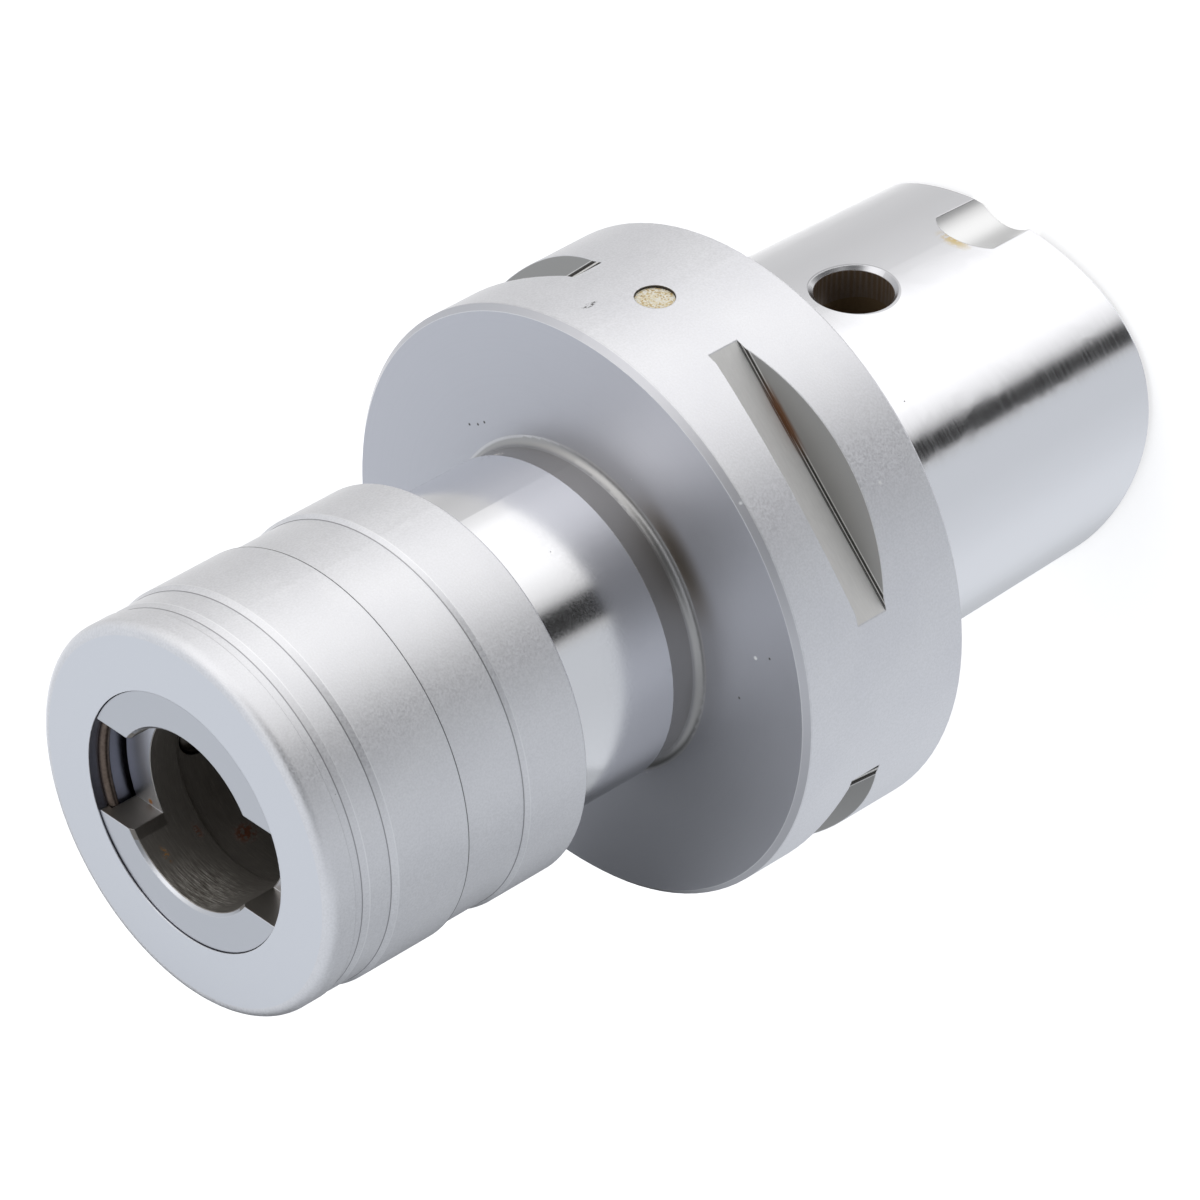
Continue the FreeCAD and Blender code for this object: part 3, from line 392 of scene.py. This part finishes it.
# The shank's taper is ground bright all round. Grinding lines are finer than the six to the millimetre here.
lengthwise = add_node(tree, "ShaderNodeMapping", {0: place, "Scale": (0.10, 0.10, 6.0)})
grinding = add_node(tree, "ShaderNodeTexNoise",
                    {"Vector": lengthwise.outputs[0], "Scale": 1.0, "Detail": 3.0, "Roughness": 0.6})
on_shank = where_all(tree, between(tree, z, -1.0, flange_rear - 0.03), between(tree, radius, 16.5, 24.0))
shank_rough = add_node(tree, "ShaderNodeMapRange",
                       {"Value": grinding.outputs[0], **noise_span, "To Min": 0.155, "To Max": 0.225})
finish = coat(tree, finish, on_shank, "#eeeef1", shank_rough.outputs[0])
finish = coat(tree, finish, where_all(tree, on_shank, between(tree, z, -1.0, 0.68)), "#a3a3a8", 0.3)

# The scallop at the shank's end is milled, so it shows where the surface lies below the taper's bulging side.
# A drop of oil has dried at its inner end.
side_bulge, side_at_end, taper_slope = -0.0131, 19.31, 0.025
bulge = add_node(tree, "ShaderNodeMath", {0: y, 1: y}, operation="MULTIPLY")
side_x = add_node(tree, "ShaderNodeMath", {0: bulge.outputs[0], 1: side_bulge, 2: side_at_end},
                  operation="MULTIPLY_ADD")
tapered_x = add_node(tree, "ShaderNodeMath", {0: z, 1: taper_slope, 2: side_x.outputs[0]},
                     operation="MULTIPLY_ADD")
sunk = add_node(tree, "ShaderNodeMath", {0: tapered_x.outputs[0], 1: x}, operation="SUBTRACT")
scallop = where_all(tree, between(tree, sunk.outputs[0], 0.03, 3.0), between(tree, z, -1.0, 8.6),
                    between(tree, y, -4.6, 4.6), between(tree, x, 16.8, 22.0))
finish = coat(tree, finish, scallop, "#e6e6e6", 0.38)
oil_noise = add_node(tree, "ShaderNodeTexNoise", {"Vector": place, "Scale": 1.6, "Detail": 3.0})
oil = where_all(tree, near(tree, place, (19.9, -0.4, 8.2), 1.2, 0.9, (1.0, 0.75, 1.6)),
                between(tree, oil_noise.outputs[0], 0.42, 1.0, 0.1))
finish = coat(tree, finish, oil, "#dcc796", 0.4)

# The neck is ground and polished where the wiper runs, and turned down below that, with a round at its root
relief_top = 63.9
on_neck = where_all(tree, between(tree, z, relief_top - 0.02, 88.0), between(tree, radius, 17.2, 18.5))
neck_rough = add_node(tree, "ShaderNodeMapRange",
                      {"Value": beads, **noise_span, "To Min": 0.12, "To Max": 0.19})
finish = coat(tree, finish, on_neck, "#e8e8ea", neck_rough.outputs[0])
relieved = where_all(tree, between(tree, z, flange_front + 0.85, relief_top),
                     between(tree, radius, 15.0, 17.34))
finish = coat(tree, finish, relieved, "#a19f9e", 0.44)
root = where_all(tree, between(tree, z, flange_front + 0.02, flange_front + 0.85, 0.05),
                 between(tree, radius, 16.0, 17.98))
finish = coat(tree, finish, root, "#aaa9a8", 0.36)
nick_noise = add_node(tree, "ShaderNodeTexNoise", {"Vector": place, "Scale": 5.0, "Detail": 2.0})
nicks = where_all(tree, near(tree, place, (14.8, 8.6, 63.1), 0.8, 0.4),
                  between(tree, nick_noise.outputs[0], 0.5, 1.0, 0.02))
finish = coat(tree, finish, nicks, "#efece6", 0.7, 0.0)

# The grooves across the rim are milled. Two dark lines are painted as shade along their corners, where a
# small step in the floor meets the flank, with some rust in one of them, and the cutter left pits and chips.
in_groove = where_all(tree, between(tree, radius, 26.0, rim_radius - 0.07), between(tree, z, 45.6, 54.5))
cutter = add_node(tree, "ShaderNodeMapping", {0: place, "Scale": (0.5, 0.5, 3.0)})
cutter_marks = add_node(tree, "ShaderNodeTexNoise",
                        {"Vector": cutter.outputs[0], "Scale": 1.6, "Detail": 2.0})
groove_tone = add_node(tree, "ShaderNodeMix",
                       {"Factor": cutter_marks.outputs[0], "A": linear("#efeeec"), "B": linear("#fbfaf8")},
                       data_type="RGBA")
finish = coat(tree, finish, in_groove, groove_tone.outputs["Result"], 0.5)
groove_corner = 48.0
# Painted shade: the flank is painted a darker grey than the floor, for the dark it faces
flank = where_all(tree, in_groove, between(tree, z, groove_corner - 3.0, groove_corner))
finish = coat(tree, finish, flank, "#a09f9d", 0.42)
mirrored = add_node(tree, "ShaderNodeVectorMath", {0: place}, operation="ABSOLUTE")
groove_depth = add_node(tree, "ShaderNodeVectorMath", {0: mirrored.outputs[0], 1: (0.7071, 0.7071, 0.0)},
                        operation="DOT_PRODUCT")
# Painted shade: two dark lines along the corner and the small step in the floor
for inner, outer in ((27.6, 27.98), (28.14, 28.46)):
    corner = where_all(tree, in_groove, between(tree, z, groove_corner - 0.1, groove_corner + 0.2, 0.05),
                       between(tree, groove_depth.outputs["Value"], inner, outer, 0.05))
    finish = coat(tree, finish, corner, "#2e2a26", 0.6, 0.3)
along = add_node(tree, "ShaderNodeMath", {0: x, 1: y}, operation="ADD")
rusty = where_all(tree, in_groove, between(tree, z, groove_corner - 0.08, groove_corner + 0.3, 0.12),
                  between(tree, along.outputs[0], 4.0, 13.0, 3.0), between(tree, x, 15.0, 40.0))
finish = coat(tree, finish, rusty, "#6b4526", 0.7, 0.2)
for pit in ((6.9, -27.4, 49.3), (6.4, -27.5, 48.9)):
    finish = coat(tree, finish, near(tree, place, pit, 0.16, 0.08), "#35302b", 0.6, 0.0)
for chip in ((15.1, -23.9, 51.5), (14.3, -24.4, 50.9), (14.8, -24.1, 51.9)):
    finish = coat(tree, finish, near(tree, place, chip, 0.16, 0.1), "#8b8377", 0.5, 0.0)

# The holes are dark and oily inside, and the one in the shank has a bright countersink
side_hole_level, side_hole_radius = 22.1, 4.06
pin_level, pin_hole_radius = 50.05, 2.07
across_hole = add_node(tree, "ShaderNodeVectorMath", {0: place, 1: (0.0, 1.0, 1.0)}, operation="MULTIPLY")
from_hole = add_node(tree, "ShaderNodeVectorMath",
                     {0: across_hole.outputs[0], 1: (0.0, 0.0, side_hole_level)}, operation="DISTANCE")
sink = where_all(tree, between(tree, from_hole.outputs["Value"], 4.03, 4.68), between(tree, x, 10.0, 30.0))
finish = coat(tree, finish, sink, "#c9c9cc", 0.25)
side_hole = where_all(tree, between(tree, from_hole.outputs["Value"], -1.0, side_hole_radius),
                      between(tree, x, 10.0, 30.0))
finish = coat(tree, finish, side_hole, "#6b5130", 0.5, 0.35)
from_pin = add_node(tree, "ShaderNodeVectorMath", {0: across_hole.outputs[0], 1: (0.0, 0.0, pin_level)},
                    operation="DISTANCE")
pin_hole = where_all(tree, between(tree, from_pin.outputs["Value"], -1.0, pin_hole_radius),
                     between(tree, radius, 10.0, rim_radius - 0.06))
finish = coat(tree, finish, pin_hole, "#3f3a35", 0.5, 0.3)
cavity = where_all(tree, between(tree, z, 1.55, 31.0), between(tree, radius, -1.0, 16.35))
finish = coat(tree, finish, cavity, "#7a664c", 0.5, 0.4)
spindle_way = where_all(tree, between(tree, z, 31.0, 87.0), between(tree, radius, -1.0, 15.4))
finish = coat(tree, finish, spindle_way, "#8d8b89", 0.22)

# Dust and small pits lie all over, and some knocks, dots and a scuff from use sit where the photo has them
dust, pitted = "#f2f2f0", "#5a5856"
finish = coat(tree, finish, specks(tree, place, 2.6, 0.09, 0.22), dust, 0.7, 0.0)
finish = coat(tree, finish, specks(tree, place, 4.1, 0.10, 0.16), pitted, 0.6, 0.3)
for knock in ((24.4, -19.8, 60.0), (22.9, -21.5, 59.7), (27.6, -15.1, 59.8), (19.4, -24.7, 44.0),
              (6.5, -24.4, 60.0)):
    finish = coat(tree, finish, near(tree, place, knock, 0.2, 0.1), "#f2f2f2", 0.5, 0.0)
for dot in ((0.7, -22.4, 60.0), (7.4, -26.25, 60.0), (14.2, 14.1, 60.0), (14.9, 13.2, 60.0),
            (13.6, 15.3, 60.0)):
    finish = coat(tree, finish, near(tree, place, dot, 0.13, 0.07), "#3a3836", 0.6, 0.0)
scuff = where_all(tree, near(tree, place, (31.2, 3.4, 55.5), 0.85, 0.3, (1.0, 2.5, 1.0)),
                  between(tree, nick_noise.outputs[0], 0.52, 1.0, 0.04))
finish = coat(tree, finish, scuff, "#6d6c6c", 0.5, 0.5)
for grit in ((12.4, -13.0, 72.2), (12.8, -12.6, 67.9), (11.9, -13.5, 74.6), (13.3, -12.1, 75.8),
             (12.0, -13.4, 69.5), (14.2, -11.0, 66.8)):
    finish = coat(tree, finish, near(tree, place, grit, 0.09, 0.05), dust, 0.7, 0.0)

# The beads' relief is nearly gone where the steel was ground afterwards
ground_zones = add_node(tree, "ShaderNodeMath", {0: on_shank, 1: on_neck}, operation="ADD")
relief_left = add_node(tree, "ShaderNodeMath", {0: ground_zones.outputs[0], 1: -0.9, 2: 1.0},
                       operation="MULTIPLY_ADD")
skin = add_node(tree, "ShaderNodeMath", {0: beads, 1: relief_left.outputs[0]}, operation="MULTIPLY")
close_surface(holder_steel, tree, finish, skin.outputs[0], 0.000008)
put_on(["holder_body"], holder_steel)


# The drive pins and their plugs
# Two hardened and ground pins reach through the rim into the spindle's keyways and stop it turning.
# A plug of brass-filled resin closes the hole behind each of them.

# Ground pin steel is bright and mirrors sharply
pin_steel, tree, place, radius = open_surface("ground_pin_steel")
close_surface(pin_steel, tree, (linear("#d4d4d6"), 0.18, 1.0), radius, 0.0)
put_on(["drive_pin_1", "drive_pin_2"], pin_steel)

# The resin is a rough tan, with pale and brassy grains a sixth of a millimetre across
plug_resin, tree, place, radius = open_surface("brass_filled_resin")
grains = add_node(tree, "ShaderNodeTexVoronoi", {"Vector": place, "Scale": 6.0})
grain_pick = add_node(tree, "ShaderNodeSeparateXYZ", {0: grains.outputs["Color"]})
grain_tone = add_node(tree, "ShaderNodeValToRGB", {0: grain_pick.outputs[0]})
set_ramp(grain_tone, [(0.0, linear("#d0b37e")), (0.25, linear("#e8d4a4")), (0.5, linear("#f8eccd")),
                      (0.8, linear("#fffaec"))])
lumps = add_node(tree, "ShaderNodeTexNoise", {"Vector": place, "Scale": 2.4, "Detail": 3.0})
close_surface(plug_resin, tree, (grain_tone.outputs[0], 0.45, 0.2), lumps.outputs[0], 0.00012)
put_on(["rim_plug_1", "rim_plug_2"], plug_resin)


# The release sleeve and the guard skirt
# Two turned steel rings screwed together and blasted with fine beads; only the nose face is ground.
# The sleeve is pushed towards the flange to let the adapter go, and the skirt slides over the neck.

# Blasted steel is a soft satin grey all round, and its turned steps get thin painted lines of shade and
# highlight
sleeve_steel, tree, place, radius = open_surface("blasted_sleeve_steel")
axes = add_node(tree, "ShaderNodeSeparateXYZ", {0: place})
z = axes.outputs[2]
beads, finish = blasted(tree, place, "#e4e4e7", "#eeeef0", 0.15, 0.58)

# Painted shade lies in dark lines in the inner corners of the steps and along the seam between the rings, and
# painted highlights in bright lines on the outer corners
painted_edge_highlight = "#f6f6f8"
for low, high, shade in ((108.02, 108.14, "#6f6d70"), (107.02, 107.14, "#a5a4a8"),
                         (106.24, 106.34, painted_edge_highlight), (103.60, 103.70, "#a09fa3"),
                         (102.90, 103.00, painted_edge_highlight), (93.90, 94.10, "#413f42"),
                         (86.54, 86.64, "#98979b"), (86.04, 86.12, painted_edge_highlight)):
    step_shade_and_highlight = where_all(tree, between(tree, z, low, high), between(tree, radius, 20.0, 21.0))
    finish = coat(tree, finish, step_shade_and_highlight, shade, 0.5)
inside = where_all(tree, between(tree, radius, 0.0, 19.0, 0.02), between(tree, z, 78.9, 111.15))
finish = coat(tree, finish, inside, "#9c9da4", 0.3)
nose_face = where_all(tree, between(tree, z, 111.22, 112.0, 0.015), between(tree, radius, 13.0, 19.25, 0.1))
finish = coat(tree, finish, nose_face, "#e2e4e9", 0.36)
land = where_all(tree, between(tree, z, 100.0, 111.1), between(tree, radius, 0.0, 15.6))
finish = coat(tree, finish, land, "#8b8c98", 0.36)
finish = coat(tree, finish, specks(tree, place, 2.4, 0.09, 0.20), dust, 0.7, 0.0)
finish = coat(tree, finish, specks(tree, place, 5.3, 0.11, 0.14), pitted, 0.6, 0.3)
close_surface(sleeve_steel, tree, finish, beads, 0.000008)
put_on(["release_sleeve", "guard_skirt"], sleeve_steel)


# The spindle
# A sleeve of hardened steel, ground outside and on the nose, that floats in the neck on two springs.
# Oil has stained the bore for the adapter brown, with a little rust.

# Ground steel is a clean cool grey on the nose, and its stained bore is dull and dark
spindle_steel, tree, place, radius = open_surface("ground_spindle_steel")
axes = add_node(tree, "ShaderNodeSeparateXYZ", {0: place})
x, z = axes.outputs[0], axes.outputs[2]
turning = add_node(tree, "ShaderNodeTexNoise", {"W": radius, "Scale": turned_per_mm, "Detail": 3.0},
                   noise_dimensions="1D")
ground = add_node(tree, "ShaderNodeMapRange",
                  {"Value": turning.outputs[0], **noise_span, "To Min": 0.30, "To Max": 0.32})
finish = (linear("#cbcdd2"), ground.outputs[0], 1.0)
bore_radius = 9.5
wall = where_all(tree, between(tree, radius, 0.0, bore_radius + 0.3), between(tree, z, 84.0, 110.75))
scores = add_node(tree, "ShaderNodeMapping",
                  {0: place, "Scale": (0.35, 0.35, 3.5), "Rotation": (0.25, 0.2, 0.0)})
scoring = add_node(tree, "ShaderNodeTexNoise",
                   {"Vector": scores.outputs[0], "Scale": 1.8, "Detail": 4.0, "Roughness": 0.7})
wall_tone = add_node(tree, "ShaderNodeValToRGB", {0: scoring.outputs[0]})
set_ramp(wall_tone, [(0.35, linear("#948f89")), (0.6, linear("#a09b95")), (0.7, linear("#b1aca6"))])
finish = coat(tree, finish, wall, wall_tone.outputs[0], 0.5, 0.85)

# Adapters have worn one side of the mouth, and a lighter patch painted over it is its highlight; three rust
# spots are left beside it
rubbed_and_highlit_tone = add_node(tree, "ShaderNodeValToRGB", {0: scoring.outputs[0]})
set_ramp(rubbed_and_highlit_tone, [(0.38, linear("#6d6760")), (0.52, linear("#a9a49c")), (0.66, linear("#f3f0ea"))])
rubbed_and_highlit = where_all(tree, wall, near(tree, place, (-9.4, 0.2, 108.6), 2.2, 2.1, (1.0, 0.65, 0.9)))
finish = coat(tree, finish, rubbed_and_highlit, rubbed_and_highlit_tone.outputs[0], 0.4, 0.5)
stain_noise = add_node(tree, "ShaderNodeTexNoise", {"Vector": place, "Scale": 2.4, "Detail": 4.0})
for spot, reach, squeeze, shade in (((-7.9, 5.3, 109.0), 0.75, (1.0, 1.0, 2.4), "#a3763c"),
                                    ((-8.75, 3.6, 100.3), 1.1, (1.0, 1.0, 0.9), "#6b3c24"),
                                    ((-7.6, 5.7, 104.6), 0.8, (1.0, 1.0, 2.2), "#6b4a3c")):
    rust = where_all(tree, wall, near(tree, place, spot, reach, 0.5, squeeze),
                     between(tree, stain_noise.outputs[0], 0.48, 1.0, 0.05))
    finish = coat(tree, finish, rust, shade, 0.7, 0.2)

# The balls' windows are painted dark as shade, the slots' floors are ground, and their sides are dull
windows = where_all(tree, between(tree, radius, bore_radius + 0.4, 13.5), between(tree, z, 97.6, 104.2))
finish = coat(tree, finish, windows, "#4a4540", 0.5, 0.6)
slot_floor_level = 107.0
slot_floor = where_all(tree, between(tree, z, slot_floor_level - 0.02, slot_floor_level + 0.12),
                       between(tree, radius, bore_radius + 0.1, 13.6))
finish = coat(tree, finish, slot_floor, "#e4e6ec", 0.32)
sides = add_node(tree, "ShaderNodeMath", {0: x}, operation="ABSOLUTE")
slot_side = where_all(tree, between(tree, sides.outputs[0], 5.3, 6.3),
                      between(tree, z, slot_floor_level + 0.06, 111.0),
                      between(tree, radius, bore_radius - 0.1, 13.6))
finish = coat(tree, finish, slot_side, "#98938d", 0.45)
finish = coat(tree, finish, near(tree, place, (-5.0, 9.6, slot_floor_level), 0.3, 0.15), "#a06a34", 0.6, 0.2)
spring_room = where_all(tree, between(tree, z, 40.0, 84.3), between(tree, radius, 0.0, 9.4))
finish = coat(tree, finish, spring_room, "#77746f", 0.35)
fine = add_node(tree, "ShaderNodeTexNoise", {"Vector": place, "Scale": 5.0, "Detail": 2.0})
close_surface(spindle_steel, tree, finish, fine.outputs[0], 0.000003)
put_on(["spindle"], spindle_steel)


# The rings that hold the sleeve and the spring collar
# Bent from spring steel wire and sprung into grooves of the spindle, left as they were tempered.

# Tempered wire is brown, dull and a little streaky
ring_steel, tree, place, radius = open_surface("tempered_wire")
drawn = add_node(tree, "ShaderNodeTexNoise", {"Vector": place, "Scale": 3.0, "Detail": 3.0})
ring_tone = add_node(tree, "ShaderNodeMix",
                     {"Factor": drawn.outputs[0], "A": linear("#4e433b"), "B": linear("#7c6f66")},
                     data_type="RGBA")
close_surface(ring_steel, tree, (ring_tone.outputs["Result"], 0.34, 1.0), drawn.outputs[0], 0.00001)
put_on(["nose_snap_ring", "collar_snap_ring"], ring_steel)


# The locking balls
# Bearing balls that lie loose in the spindle's windows and hold the adapter by its groove.

# They are painted dark as the shade in the bore, with a small bright glint
dark_painted_balls, tree, place, radius = open_surface("balls_painted_dark")
close_surface(dark_painted_balls, tree, (linear("#3f3b37"), 0.3, 1.0), radius, 0.0)
put_on(["locking_ball_1", "locking_ball_2"], dark_painted_balls)


# The springs
# Cold-wound from steel wire: one behind the sleeve, and two on the bolt that hold the spindle at mid travel.
# Each rests on one body and is pushed by another; a copy of each is put in its place, and the part itself is
# hidden.

# Drawn wire under a film of oil is dark grey and glossy
spring_steel, tree, place, radius = open_surface("oiled_spring_wire")
drawn = add_node(tree, "ShaderNodeTexNoise", {"Vector": place, "Scale": 2.0, "Detail": 3.0})
wire_tone = add_node(tree, "ShaderNodeMix",
                     {"Factor": drawn.outputs[0], "A": linear("#5d5d60"), "B": linear("#8e8e92")},
                     data_type="RGBA")
close_surface(spring_steel, tree, (wire_tone.outputs["Result"], 0.28, 1.0), drawn.outputs[0], 0.00001)
put_on(["sleeve_spring", "compression_spring", "extension_spring"], spring_steel)

for name, resting_on, pushed_by, rests_low in (("compression_spring", "holder", "spindle", True),
                                               ("extension_spring", "holder", "spindle", False),
                                               ("sleeve_spring", "spindle", "sleeve", True)):
    coil = bpy.data.objects.new("coils_of_" + name, nodes[name].data.copy())
    coil.matrix_world = nodes[name].matrix_world
    bpy.context.scene.collection.objects.link(coil)
    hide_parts(name)
    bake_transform(coil)


# The spring collar, the float bolt, its washer and the abutment nut
# The collar is turned from steel and carries the sleeve's spring. The bolt stands on its washer in the
# shank's hollow, passes up through the holder, and its nut parts the two float springs.

# Turned steel keeps fine rings round the axis
collar_steel, tree, place, radius = open_surface("turned_collar_steel")
turning = add_node(tree, "ShaderNodeTexNoise", {"W": radius, "Scale": turned_per_mm, "Detail": 3.0},
                   noise_dimensions="1D")
close_surface(collar_steel, tree, (linear("#c4c5ca"), 0.3, 1.0), turning.outputs[0], 0.000004)
put_on(["spring_collar"], collar_steel)

# Blackened steel is a deep grey with faint clouds
black_steel, tree, place, radius = open_surface("blackened_steel")
clouds = add_node(tree, "ShaderNodeTexNoise", {"Vector": place, "Scale": 2.5, "Detail": 3.0})
black_tone = add_node(tree, "ShaderNodeMix",
                      {"Factor": clouds.outputs[0], "A": linear("#2b2b2e"), "B": linear("#4a4a4e")},
                      data_type="RGBA")
close_surface(black_steel, tree, (black_tone.outputs["Result"], 0.38, 1.0), clouds.outputs[0], 0.00001)
put_on(["float_bolt", "bolt_washer", "abutment_nut"], black_steel)


# The bush that closes the spindle
# Turned from bronze, because it slides on the bolt, and screwed into the spindle from below.

# Turned bronze is a warm brown-gold with fine rings
bronze, tree, place, radius = open_surface("turned_bronze")
turning = add_node(tree, "ShaderNodeTexNoise", {"W": radius, "Scale": turned_per_mm, "Detail": 3.0},
                   noise_dimensions="1D")
close_surface(bronze, tree, (linear("#b08a4e"), 0.32, 1.0), turning.outputs[0], 0.000005)
put_on(["end_bush"], bronze)


# The seal and the wiper
# A moulded ring of nitrile rubber sits in the neck's bore, and a wiper of filled plastic in the skirt.

# The rubber and the wiper's plastic are both black and matt, so one material shows the two
rubber, tree, place, radius = open_surface("black_nitrile_rubber")
moulding = add_node(tree, "ShaderNodeTexNoise", {"Vector": place, "Scale": 3.0, "Detail": 2.0})
close_surface(rubber, tree, (linear("#161616"), 0.6, 0.0), moulding.outputs[0], 0.00001)
put_on(["spindle_seal", "wiper_ring"], rubber)
